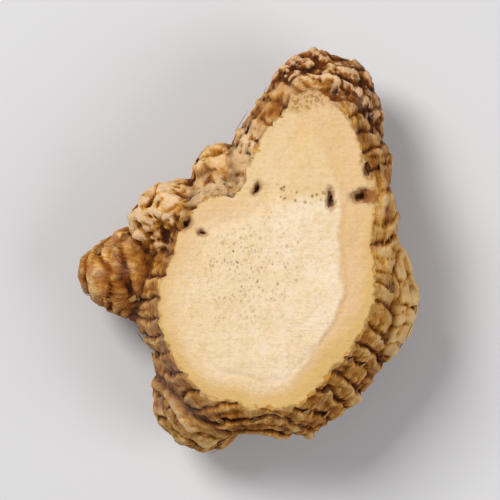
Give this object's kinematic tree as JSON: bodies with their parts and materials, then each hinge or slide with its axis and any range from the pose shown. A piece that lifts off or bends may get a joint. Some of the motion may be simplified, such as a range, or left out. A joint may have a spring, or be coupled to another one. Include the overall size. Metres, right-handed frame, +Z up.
{
  "type": "sand ginger root",
  "caption": "Half of a dried sand ginger root: a fat ringed body with a neck and a side stub, brown wrinkled skin all round, and a pale knife cut on top. Lies on its skin.",
  "frame": {"origin": "on the table under the middle of the root's fat body, at the centre of the flattened patch that it rests on", "axes": "+Z up, out of the knife cut; +Y from the body towards the neck; +X away from the side stub"},
  "size_m": [0.031, 0.0365, 0.0142],
  "materials": {
    "dried_root": "matt wrinkled brown root skin with growth rings, and a mealy cream face where the knife cut"
  },
  "bodies": {
    "root": {"ginger_root": "dried_root"}
  },
  "joints": []
}
